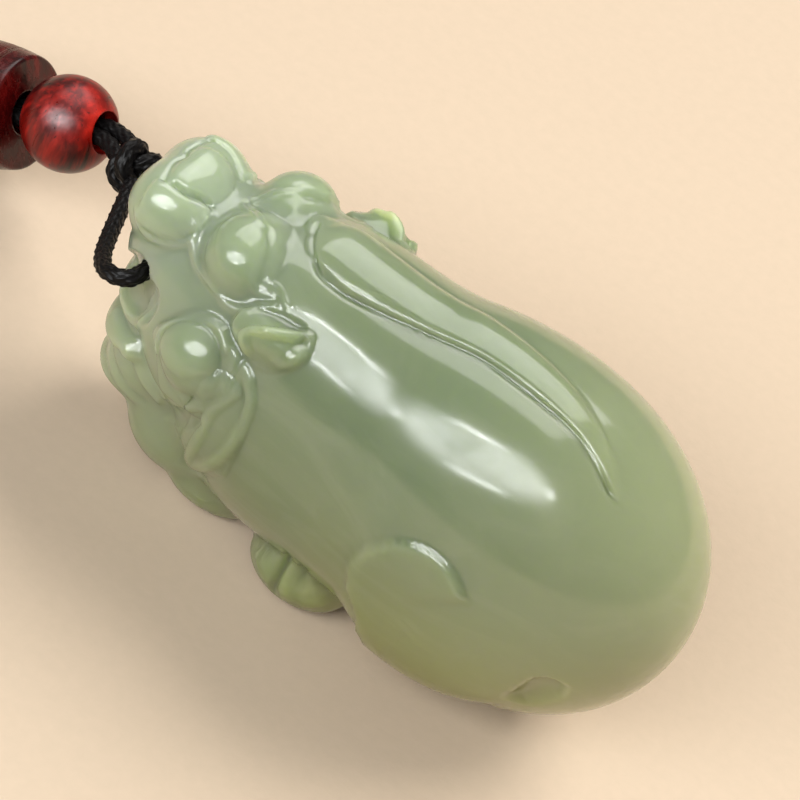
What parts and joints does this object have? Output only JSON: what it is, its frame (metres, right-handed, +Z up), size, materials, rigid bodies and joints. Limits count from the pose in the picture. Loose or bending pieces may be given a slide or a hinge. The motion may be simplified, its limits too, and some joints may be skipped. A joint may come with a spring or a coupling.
{
  "type": "carved jade pixiu pendant",
  "caption": "Polished pale green jade pendant carved as a crouching pixiu, drilled through the mouth for a braided cord with a knot and wooden beads.",
  "frame": {"origin": "on the ground under the middle of the carving's bounding box", "axes": "head towards -X, the carving's left flank towards -Y, +Z up"},
  "size_m": [0.1222, 0.0278, 0.0322],
  "materials": {
    "jade": "polished",
    "cord": "waxed braid",
    "red_wood": "satin, lacquered",
    "dark_wood": "satin, waxed"
  },
  "bodies": {
    "root": {"jade_pixiu": "jade", "bail_cord": "cord", "cord_knot": "cord", "hanging_cord": "cord", "round_bead": "red_wood", "barrel_bead": "dark_wood"}
  },
  "joints": []
}
